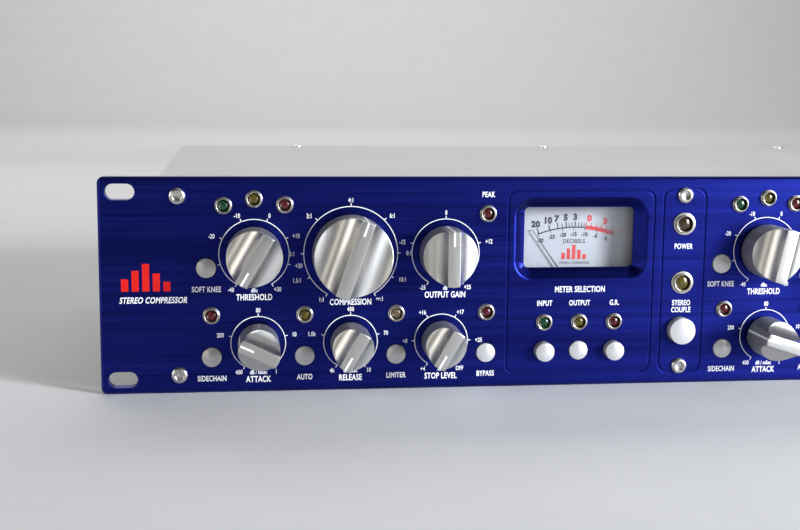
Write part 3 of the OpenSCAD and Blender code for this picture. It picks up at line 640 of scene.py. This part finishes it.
def buttons():
    for node in (n for n in frame["nodes"] if "button" in n):
        low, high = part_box(node)
        middle = (low + high) / 2
        mesh = bmesh.new()
        lathe(mesh, cap_profile((high.x - low.x) / 2, -low.y), 64)
        piece = finish_mesh(node + "_cap", mesh, [CAP], front(middle.x, middle.z), smooth=40)
        stand_for(piece, node)


# ---------------------------------------------------------------- lights

COLLAR_W = 0.65 * MM
BARREL_END = -1.2 * MM                # behind the panel
FLANGE_RIM, FLANGE_TOP = 0.55 * MM, 0.75 * MM
FLANGE_ROUND = 0.25 * MM
SMALL_BORE = (2.45 * MM, 2.9 * MM)    # radius inside and outside the barrel
BIG_BORE = (3.2 * MM, 3.9 * MM)
BIG_BEZEL = 4.2 * MM                  # bezels with a larger radius than this have the big bore


def bezel_profile(outer, barrel, bore, height):
    """Sloping flange with a rounded rim, and a prouder round-topped collar around the bore."""
    top, collar = PANEL_T + height, bore + COLLAR_W
    rim, shoulder = PANEL_T + FLANGE_RIM, PANEL_T + FLANGE_TOP
    profile = [(barrel, BARREL_END), (barrel, PANEL_T)]
    profile += [(outer - 0.1 * MM, PANEL_T), (outer, PANEL_T + 0.1 * MM)]
    profile += arc(outer - FLANGE_ROUND, rim - FLANGE_ROUND, FLANGE_ROUND, 0, 100, 6)
    profile += [(collar + 0.12 * MM, shoulder - 0.12 * MM), (collar, shoulder + 0.05 * MM)]
    profile += arc(bore + COLLAR_W / 2, top - COLLAR_W / 2, COLLAR_W / 2, 0, 180, 14)
    profile += [(bore, BARREL_END)]
    return profile


def bezels():
    mesh = bmesh.new()
    for low, high in islands("led_bezels"):
        middle = (low + high) / 2
        outer = (high.x - low.x) / 2
        bore, barrel = BIG_BORE if outer > BIG_BEZEL else SMALL_BORE
        lathe(mesh, bezel_profile(outer, barrel, bore, -low.y - PANEL_T), 56,
              front(middle.x, middle.z), closed=True)
    piece = finish_mesh("led_bezels_turned", mesh, [BEZEL], smooth=40)
    stand_for(piece, "led_bezels")


LENS_RISE = 0.15 * MM                 # how much prouder the lens stands than its stand-in
LENS_CROWN = 1.3 * MM
LENS_FOOT = -1.0 * MM
LEAD_X, LEAD_HALF = 1.27 * MM, 0.25 * MM
LEAD_END = 10.3 * MM
TINTS = {"green_leds": [GREEN_LED], "yellow_leds": [YELLOW_LED, AMBER_LED],
         "red_leds": [RED_LED, BROWN_LED]}


def light_profile(r, top):
    """Lens with a low crown."""
    side = top + LENS_RISE - LENS_CROWN
    angles = [math.pi / 2 * i / 9 for i in range(1, 10)]
    crown = [(r * math.cos(a), side + LENS_CROWN * math.sin(a)) for a in angles]
    return [(r, LENS_FOOT), (r, side)] + crown


def lens_tint(node, x, r):
    """The second tint is for the light above a limiter button and, among the red ones, the power light."""
    limiter = any(abs(x - centre(f"limiter_button_{i}").x) < 2 * MM for i in (1, 2))
    power = node == "red_leds" and abs(x) < r
    return 1 if len(TINTS[node]) > 1 and (limiter or power) else 0


def lights():
    for node, materials in TINTS.items():
        mesh = bmesh.new()
        for low, high in islands(node):
            middle = (low + high) / 2
            r = (high.x - low.x) / 2
            tint = lens_tint(node, middle.x, r)
            lathe(mesh, light_profile(r, -low.y), 40, front(middle.x, middle.z), material=tint)
            for x in (middle.x - LEAD_X, middle.x + LEAD_X):
                box_solid(mesh, (x - LEAD_HALF, LENS_FOOT, middle.z - LEAD_HALF),
                          (x + LEAD_HALF, LEAD_END, middle.z + LEAD_HALF), material=len(materials))
        piece = finish_mesh(node + "_lenses", mesh, materials + [STEEL], smooth=50)
        stand_for(piece, node)


# ---------------------------------------------------------------- screws

PANEL_SCREW_L, COVER_SCREW_L = 9 * MM, 5 * MM
REAR_HEAD_H = 1.4 * MM


def socket_screw(mesh, matrix, r, height, length):
    """Button head with a hexagon socket; local z = 0 is the surface it stands on."""
    n = 48
    hexa, deep = r * 0.48, height * 0.6
    steps = [math.pi / 2 * i / 10 for i in range(10)]
    dome = [(r * math.cos(a), height * (0.2 + 0.8 * math.sin(a))) for a in steps]
    dome = [point for point in dome if point[0] > hexa * 1.32]
    rim_z = dome[-1][1] + 0.01 * MM
    rings = [circle_ring(r * 0.55, -length, n), circle_ring(r * 0.55, 0, n), circle_ring(r, 0, n)]
    rings += [circle_ring(radius, z, n) for radius, z in dome]
    rings += [circle_ring(hexa * 1.24, rim_z, n), circle_ring(hexa * 1.16, rim_z - 0.05 * MM, n)]
    rings += [hex_ring(hexa, rim_z - 0.22 * MM, n), hex_ring(hexa, rim_z - deep, n)]
    rings.append(circle_ring(hexa * 0.9, rim_z - deep, n))
    rings.append(circle_ring(hexa * 0.05, rim_z - deep - 0.35 * MM, n))
    loft(mesh, rings, matrix)


def screws():
    mesh = bmesh.new()
    for low, high in islands("panel_screws"):
        middle = (low + high) / 2
        matrix = front(middle.x, middle.z, 0.7 * middle.x) @ Matrix.Translation((0, 0, PANEL_T))
        socket_screw(mesh, matrix, (high.x - low.x) / 2, -low.y - PANEL_T, PANEL_SCREW_L)
    stand_for(finish_mesh("panel_screws_turned", mesh, [STEEL], smooth=35), "panel_screws")
    mesh = bmesh.new()
    cover_x, cover_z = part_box("top_cover")[1].x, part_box("top_cover")[1].z
    for low, high in islands("chassis_screws"):
        middle = (low + high) / 2
        size = high - low
        if abs(middle.x) > cover_x - 3 * MM and size.z < size.x:
            side = math.copysign(1, middle.x)
            matrix = (Matrix.Translation((side * cover_x, middle.y, middle.z))
                      @ Matrix.Rotation(side * math.pi / 2, 4, "Y"))
            proud = max(abs(low.x), abs(high.x)) - cover_x
            socket_screw(mesh, matrix, size.z / 2, proud, COVER_SCREW_L)
        elif high.z > cover_z:
            matrix = Matrix.Translation((middle.x, middle.y, cover_z))
            socket_screw(mesh, matrix, size.x / 2, high.z - cover_z, COVER_SCREW_L)
        else:
            seat = high.y - REAR_Y - REAR_HEAD_H
            matrix = rear(middle.x, middle.z) @ Matrix.Translation((0, 0, seat))
            socket_screw(mesh, matrix, size.x / 2, REAR_HEAD_H, COVER_SCREW_L)
    stand_for(finish_mesh("chassis_screws_turned", mesh, [STEEL], smooth=35), "chassis_screws")


# ---------------------------------------------------------------- printing

LETTER_CAP = 0.682                  # height of a capital at size 1
CONDENSED = 0.70
LETTER_SPACE = 1.06
BOLD = 0.028                        # outline growth as a share of the height


class Print:
    """Flat printed artwork in one colour, gathered into one thin piece on a plane facing the front."""

    def __init__(self, name, material, out):
        self.name, self.material, self.out = name, material, out
        self.mesh = bmesh.new()

    def text(self, body, x, z, height, width=None, bold=BOLD, italic=0.0, squeeze=CONDENSED):
        """Capitals of that height, centred on z; width, where given, fixes the line's length."""
        curve = bpy.data.curves.new("line", "FONT")
        curve.body = body
        curve.align_x = "CENTER"
        curve.size = height / LETTER_CAP
        curve.shear = italic
        curve.offset = bold * height
        curve.space_character = LETTER_SPACE
        curve.resolution_u = 3
        holder = bpy.data.objects.new("line", curve)
        bpy.context.scene.collection.objects.link(holder)
        bpy.context.view_layer.update()
        flat = bpy.data.meshes.new_from_object(holder.evaluated_get(bpy.context.evaluated_depsgraph_get()))
        reach = [v.co.x for v in flat.vertices]
        factor = width / (max(reach) - min(reach)) if width else squeeze
        place = front(x, z - height / 2) @ Matrix.Translation((0, 0, self.out))
        flat.transform(place @ Matrix.Diagonal((factor, 1, 1, 1)))
        self.add_flat(flat)
        bpy.data.objects.remove(holder)
        bpy.data.curves.remove(curve)

    def add_flat(self, flat):
        """Thickens a flat mesh outwards and adds it."""
        part = bmesh.new()
        part.from_mesh(flat)
        bpy.data.meshes.remove(flat)
        bmesh.ops.remove_doubles(part, verts=part.verts, dist=WELD)
        made = bmesh.ops.extrude_face_region(part, geom=part.faces[:])
        moved = [v for v in made["geom"] if isinstance(v, bmesh.types.BMVert)]
        bmesh.ops.translate(part, verts=moved, vec=(0, -PRINT_T, 0))
        data = bpy.data.meshes.new("part")
        part.to_mesh(data)
        part.free()
        self.mesh.from_mesh(data)
        bpy.data.meshes.remove(data)

    def ring(self, x, z, r, width, start, end, steps=72):
        """Part of a ring; angles are clockwise from up, in degrees."""
        inner, outer = r - width / 2, r + width / 2
        around = [math.radians(start + (end - start) * i / steps) for i in range(steps + 1)]
        rings = []
        for a in around:
            rings.append([(k * math.sin(a), k * math.cos(a), self.out + t)
                          for k, t in ((inner, 0), (outer, 0), (outer, PRINT_T), (inner, PRINT_T))])
        loft(self.mesh, rings, front(x, z))

    def tick(self, x, z, angle, r0, r1, width):
        place = front(x, z, math.radians(angle))
        box_solid(self.mesh, (-width / 2, r0, self.out), (width / 2, r1, self.out + PRINT_T), place)

    def bar(self, x0, z0, x1, z1):
        box_solid(self.mesh, (x0, z0, self.out), (x1, z1, self.out + PRINT_T), front(0, 0))

    def make(self):
        piece = finish_mesh(self.name, self.mesh, [self.material], smooth=30)
        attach(piece, "chassis")


LINE_W = 0.30 * MM
TICK_L = 1.2 * MM
NUMBER_OUT = 2.6 * MM               # from a dial's ring to the middle of its numbers
NUMBER_SPREAD = 0.45 * 0.9          # how far wide numbers move sideways, per digit and height
NUMBER_H = 1.75 * MM
LABEL_H = 2.4 * MM
SMALL_H = 2.15 * MM
UNIT_H = 1.6 * MM

# Dials, in mm: ring radius, label, unit, heights of label and unit on the panel, and (angle, number) marks
DIALS = {
    "threshold": (14.1, "THRESHOLD", "dBu", -4.7, -1.9,
                  [(-150, "-40"), (-107, ""), (-64, "-20"), (-21, "-10"), (21, "0"), (64, "+10"),
                   (107, "+20"), (150, "+30")]),
    "compression": (19.2, "COMPRESSION", "", -7.1, 0,
                    [(-150, "1:1"), (-120, "1.5:1"), (-90, "2:1"), (-45, "3:1"), (0, "4:1"), (45, "6:1"),
                     (90, "8:1"), (120, "10:1"), (150, "∞:1")]),
    "output": (14.0, "OUTPUT GAIN", "dB", -4.5, -1.8,
               [(-150, "-25"), (-74, "-12"), (0, "0"), (74, "+12"), (150, "+25")]),
    "attack": (11.1, "ATTACK", "dB / mSec", -38.7, -35.8,
               [(-150, "400"), (-75, "200"), (0, "80"), (75, "10"), (150, "1")]),
    "release": (11.1, "RELEASE", "dB / Sec", -38.7, -35.8,
                [(-150, "4k"), (-75, "1.0k"), (0, "400"), (75, "70"), (150, "10")]),
    "stop": (11.1, "STOP LEVEL", "dBu", -38.7, -35.8,
             [(-150, "+4"), (-90, "+8"), (-30, "+16"), (30, "+17"), (90, "+25"), (150, "OFF")]),
}


# Words at the buttons: the button's kind, the word, its height on the panel in mm and its letters' height
BUTTON_WORDS = [("sidechain", "SIDECHAIN", -38.1, SMALL_H), ("auto", "AUTO", -38.1, SMALL_H),
                ("limiter", "LIMITER", -38.1, SMALL_H), ("bypass", "BYPASS", -38.1, SMALL_H),
                ("soft_knee", "SOFT KNEE", -1.3, SMALL_H), ("bypass", "PEAK", 36.9, SMALL_H),
                ("meter_input", "INPUT", -8.7, SMALL_H), ("meter_output", "OUTPUT", -8.7, SMALL_H),
                ("meter_reduction", "G.R.", -8.7, SMALL_H),
                ("meter_output", "METER SELECTION", -2.9, LABEL_H)]
CENTRE_WORDS = [("POWER", 14.9), ("STEREO", -9.2), ("COUPLE", -12.2)]


def dial_print(ink, kind, channel):
    """A dial's ring with its ticks and numbers, its label and its unit."""
    r, label, unit, label_z, unit_z, marks = DIALS[kind]
    middle = centre(f"{kind}_knob_{channel}")
    r *= MM
    ink.ring(middle.x, middle.z, r, LINE_W, FIRST_STOP, -FIRST_STOP)
    for angle, number in marks:
        ink.tick(middle.x, middle.z, angle, r, r + TICK_L, LINE_W * 1.2)
        a = math.radians(angle)
        sideways = r + NUMBER_OUT + len(number) * NUMBER_SPREAD * NUMBER_H
        if number:
            ink.text(number, middle.x + sideways * math.sin(a), middle.z + (r + NUMBER_OUT) * math.cos(a),
                     NUMBER_H)
    ink.text(label, middle.x, label_z * MM, LABEL_H)
    if unit:
        ink.text(unit, middle.x, unit_z * MM, UNIT_H)


def legends():
    ink = Print("legends_white", WHITE_INK, PANEL_T)
    for channel in (1, 2):
        for kind in DIALS:
            dial_print(ink, kind, channel)
        for kind, word, z, height in BUTTON_WORDS:
            ink.text(word, centre(f"{kind}_button_{channel}").x, z * MM, height)
    for word, z in CENTRE_WORDS:
        ink.text(word, 0, z * MM, SMALL_H)
    ink.text("STEREO COMPRESSOR", -220.1 * MM, -5.5 * MM, LABEL_H, width=26.8 * MM, italic=0.25)
    ink.make()
    emblem = Print("emblem_red", RED_INK, PANEL_T)
    level_bars(emblem, -222.2 * MM, -1.9 * MM, 20.8 * MM, 11.2 * MM)
    emblem.make()


def level_bars(ink, x, z, width, height):
    """A row of five upright bars, like a level display, from its lower middle point."""
    shares = (0.45, 0.75, 1.0, 0.65, 0.35)
    pitch = width / len(shares)
    bar_w = pitch * 0.68
    for i, share in enumerate(shares):
        left = x - width / 2 + pitch * i
        ink.bar(left, z, left + bar_w, z + height * share)


# ---------------------------------------------------------------- meters

SCALE_R = 47.7 * MM
SCALE_HALF = 20.4                    # degrees each way from the middle of the scale
SCALE_ZERO = 5.2                     # where the black arc ends and the red one starts
SCALE_TOP = 21.7 * MM
SCALE_SHIFT = 0.9 * MM               # from the meter's middle to the scale's
SCALE_H = 2.4 * MM
SCALE_BOLD = 0.10
FINE_H = 1.6 * MM

# Marks of the scale, as angles clockwise from up in degrees, with their numbers
UPPER_BLACK = [(-19.6, "20"), (-13.6, "10"), (-9.3, "7"), (-4.9, "5"), (-0.3, "3")]
UPPER_RED = [(6.6, "0"), (14.4, "3")]
LOWER = [(-20, "-30"), (-13.3, "-25"), (-7, "-20"), (-1, "-15"), (5, "-10"), (11.3, "-5"), (17.4, "0")]
MINOR_BLACK = (-7.0, -3.4, -1.9, 1.4, 2.9, 4.3)
MINOR_RED = (5.4, 8.0, 10.6, 13.2, 15.8, 18.6)


def scale_number(ink, cx, mid_z, angle, out, number, height=SCALE_H, squeeze=1.0, bold=SCALE_BOLD):
    """A number outside the scale's arc, or inside it where out is negative."""
    a = math.radians(angle)
    far = SCALE_R + out
    ink.text(number, cx + far * math.sin(a), mid_z + far * math.cos(a), height, squeeze=squeeze, bold=bold)


def meter_scale(black, red, cx):
    """Printed dial: scale arc, level marks above it, decibel marks below it, words and emblem."""
    mid_z = SCALE_TOP - SCALE_R
    black.ring(cx, mid_z, SCALE_R, 0.55 * MM, -SCALE_HALF, SCALE_ZERO, 40)
    red.ring(cx, mid_z, SCALE_R + 0.1 * MM, 1.7 * MM, SCALE_ZERO, SCALE_HALF, 24)
    for angle, number in UPPER_BLACK:
        black.tick(cx, mid_z, angle, SCALE_R, SCALE_R + 2.5 * MM, 0.50 * MM)
        scale_number(black, cx, mid_z, angle, 4.4 * MM, number)
    for angle in MINOR_BLACK:
        black.tick(cx, mid_z, angle, SCALE_R, SCALE_R + 1.9 * MM, 0.36 * MM)
    for angle, number in UPPER_RED:
        scale_number(red, cx, mid_z, angle, 4.2 * MM, number)
    for angle in MINOR_RED:
        red.tick(cx, mid_z, angle, SCALE_R, SCALE_R + 2.2 * MM, 0.34 * MM)
    for angle, number in LOWER:
        scale_number(black, cx, mid_z, angle, -2.9 * MM, number, FINE_H, 0.85, 0.08)
        black.tick(cx, mid_z, angle, SCALE_R - 1.4 * MM, SCALE_R, 0.26 * MM)
    scale_signs(black, red, cx)
    black.text("DECIBELS", cx - 0.6 * MM, 15.7 * MM, FINE_H, width=9.6 * MM)
    level_bars(red, cx - 0.2 * MM, 7.9 * MM, 11.5 * MM, 6.2 * MM)
    black.text("STEREO COMPRESSOR", cx - 0.2 * MM, 6.4 * MM, 1.0 * MM, width=13.2 * MM)


def scale_signs(black, red, cx):
    """A minus at the left end of the scale and a plus at the right end."""
    black.bar(cx - 20.8 * MM, 20.1 * MM, cx - 19.2 * MM, 20.4 * MM)
    red.bar(cx + 18.6 * MM, 19.8 * MM, cx + 20.6 * MM, 20.1 * MM)
    red.bar(cx + 19.45 * MM, 19.0 * MM, cx + 19.75 * MM, 20.9 * MM)


def meters():
    dial_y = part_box("meter_dials")[0].y
    black = Print("meter_scales_black", BLACK_INK, -dial_y)
    red = Print("meter_scales_red", SCALE_RED, -dial_y)
    for i in (1, 2):
        meter_scale(black, red, centre(f"meter_output_button_{i}").x + SCALE_SHIFT)
        needle(i)
    black.make()
    red.make()


HUB_R, HUB_BORE, HUB_L = 2.0 * MM, 0.55 * MM, 1.6 * MM
BLADE_BACK = 1.0 * MM                # from the hub's front to the back of the blade
BLADE_T = 0.3 * MM
TAIL_L = 3.6 * MM
WEIGHT_R, WEIGHT_AT = 1.0 * MM, 3.4 * MM


def needle(i):
    """Tapered blade with a hub and a counterweight, around the pivot."""
    node = f"meter_needle_{i}"
    joint = JOINTS[f"meter_{i}_swing"]
    low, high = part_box(node)
    pivot = Vector(joint["pos_m"])
    reach = math.hypot(low.x - pivot.x, high.z - pivot.z)
    lean = math.atan2(low.x - pivot.x, high.z - pivot.z)
    out = -low.y
    mesh = bmesh.new()
    blade = out - BLADE_BACK
    widths = ((-TAIL_L, 0.5 * MM), (0.0, 0.42 * MM), (reach * 0.55, 0.22 * MM), (reach * 0.995, 0.10 * MM))
    rings = []
    for y, w in widths:
        rings.append([(-w, y, blade), (w, y, blade), (w, y, blade + BLADE_T), (-w, y, blade + BLADE_T)])
    loft(mesh, rings)
    hub = [(HUB_R, out - HUB_L), (HUB_R, out - 0.2 * MM), (HUB_R - 0.2 * MM, out)]
    hub += [(HUB_BORE, out), (HUB_BORE, out - HUB_L)]
    lathe(mesh, hub, 40, closed=True)
    weight = [(WEIGHT_R, blade - 0.2 * MM), (WEIGHT_R, blade + 0.5 * MM)]
    lathe(mesh, weight, 24, Matrix.Translation((0, -WEIGHT_AT, 0)))
    piece = finish_mesh(node + "_blade", mesh, [NEEDLE], front(pivot.x, pivot.z, lean), smooth=35)
    stand_for(piece, node)


# ---------------------------------------------------------------- scene

CAMERA_AT = (-0.186916, -0.518481, 0.083204)
CAMERA_YAW, CAMERA_PITCH, CAMERA_ROLL = 7.3926, 8.2692, 0.5721      # right, down and clockwise, in degrees
CAMERA_LENS, CAMERA_SENSOR = 57.44, 36.0                            # mm


def camera():
    data = bpy.data.cameras.new("camera")
    data.lens, data.sensor_width = CAMERA_LENS, CAMERA_SENSOR
    data.clip_start, data.clip_end = 0.01, 50
    holder = bpy.data.objects.new("camera", data)
    yaw, pitch, roll = (math.radians(a) for a in (CAMERA_YAW, CAMERA_PITCH, CAMERA_ROLL))
    ahead = Vector((math.sin(yaw) * math.cos(pitch), math.cos(yaw) * math.cos(pitch), -math.sin(pitch)))
    level = Vector((math.cos(yaw), -math.sin(yaw), 0))
    upright = level.cross(ahead)
    right = level * math.cos(roll) + upright * math.sin(roll)
    up = upright * math.cos(roll) - level * math.sin(roll)
    turn = Matrix((right, up, -ahead)).transposed().to_4x4()
    holder.matrix_world = Matrix.Translation(CAMERA_AT) @ turn
    bpy.context.scene.collection.objects.link(holder)
    bpy.context.scene.camera = holder


# Lamps: name, place, point aimed at, width and height, watts, colour, spread in degrees
LAMPS = [
    ("window_right", (1.40, -1.12, 0.50), (0.08, 0.0, 0.0), (0.28, 0.40), 8.2, (0.86, 0.91, 1.0), 90),
    ("window_glow", (0.92, -0.86, 0.26), (0.08, 0.0, 0.0), (0.5, 0.8), 7.6, (0.88, 0.93, 1.0), 90),
    ("warm_left", (-0.80, -1.10, 0.20), (-0.14, 0.0, 0.0), (0.4, 0.5), 1.2, (1.0, 0.97, 0.88), 180),
    ("left_fill", (-1.3, -0.25, 0.30), (-0.1, -0.02, 0.0), (0.6, 0.7), 4, (1.0, 0.98, 0.93), 180),
    ("overhead", (0.1, 0.35, 1.5), (0.0, 0.2, 0.0), (1.6, 0.9), 3.5, (1, 1, 1), 180),
    ("wall_wash", (0.35, 1.6, 1.9), (0.35, 4.2, 1.1), (3.0, 0.6), 62, (1, 1, 1), 150),
    ("far_floor", (0.0, -3.2, 2.6), (0.0, -3.4, 0.0), (4.0, 1.5), 8, (1, 1, 1), 180),
    ("behind", (-0.2, 1.35, 1.2), (-0.2, 1.0, 0.0), (2.4, 0.8), 20, (1, 1, 1), 180),
]
FLOOR_NEAR, FLOOR_BACK, FLOOR_HALF = -4.0, 3.0, 5.0
SWEEP_R = 1.2                         # of the floor's rise behind the object
WALL_TOP = 4.0


def lamp(name, at, towards, size, watts, color, spread):
    data = bpy.data.lights.new(name, "AREA")
    data.spread = math.radians(spread)
    data.shape = "RECTANGLE"
    data.size, data.size_y = size
    data.energy = watts
    data.color = color
    holder = bpy.data.objects.new(name, data)
    holder.location = at
    holder.rotation_euler = (Vector(towards) - Vector(at)).to_track_quat("-Z", "Y").to_euler()
    bpy.context.scene.collection.objects.link(holder)


def studio():
    """Pale floor that sweeps up behind, soft lamps and a pale surround."""
    mesh = bmesh.new()
    angles = [math.pi / 24 * i for i in range(1, 13)]
    path = [(FLOOR_NEAR, 0.0), (FLOOR_BACK, 0.0)]
    path += [(FLOOR_BACK + SWEEP_R * math.sin(a), SWEEP_R * (1 - math.cos(a))) for a in angles]
    path.append((FLOOR_BACK + SWEEP_R, WALL_TOP))
    lines = [[mesh.verts.new((x, y, FLOOR_Z + z)) for x in (-FLOOR_HALF, FLOOR_HALF)] for y, z in path]
    for a, b in zip(lines, lines[1:]):
        mesh.faces.new((a[0], a[1], b[1], b[0]))
    cloth = painted("studio_floor", (0.60, 0.595, 0.595), 0.8, grain=400, depth=0.1, contrast=0.02)
    floor = finish_mesh("studio_floor", mesh, [cloth], smooth=60)
    surround()
    for facts in LAMPS:
        lamp(*facts)


def surround():
    """Dim surround for the light, shown pale where the camera sees past the floor."""
    world = bpy.data.worlds.new("surround")
    world.use_nodes = True
    nodes, links = world.node_tree.nodes, world.node_tree.links
    shown = nodes["Background"]
    shown.inputs["Color"].default_value = (0.58, 0.575, 0.57, 1)
    shown.inputs["Strength"].default_value = 1.0
    dim = nodes.new("ShaderNodeBackground")
    dim.inputs["Color"].default_value = (0.9, 0.9, 0.95, 1)
    dim.inputs["Strength"].default_value = 0.04
    mix = nodes.new("ShaderNodeMixShader")
    links.new(nodes.new("ShaderNodeLightPath").outputs["Is Camera Ray"], mix.inputs[0])
    links.new(dim.outputs[0], mix.inputs[1])
    links.new(shown.outputs[0], mix.inputs[2])
    links.new(mix.outputs[0], nodes["World Output"].inputs["Surface"])
    bpy.context.scene.world = world
    bpy.context.scene.view_settings.view_transform = "Standard"


dress_kept_nodes()
casing()
knobs()
buttons()
bezels()
lights()
screws()
legends()
meters()
camera()
studio()
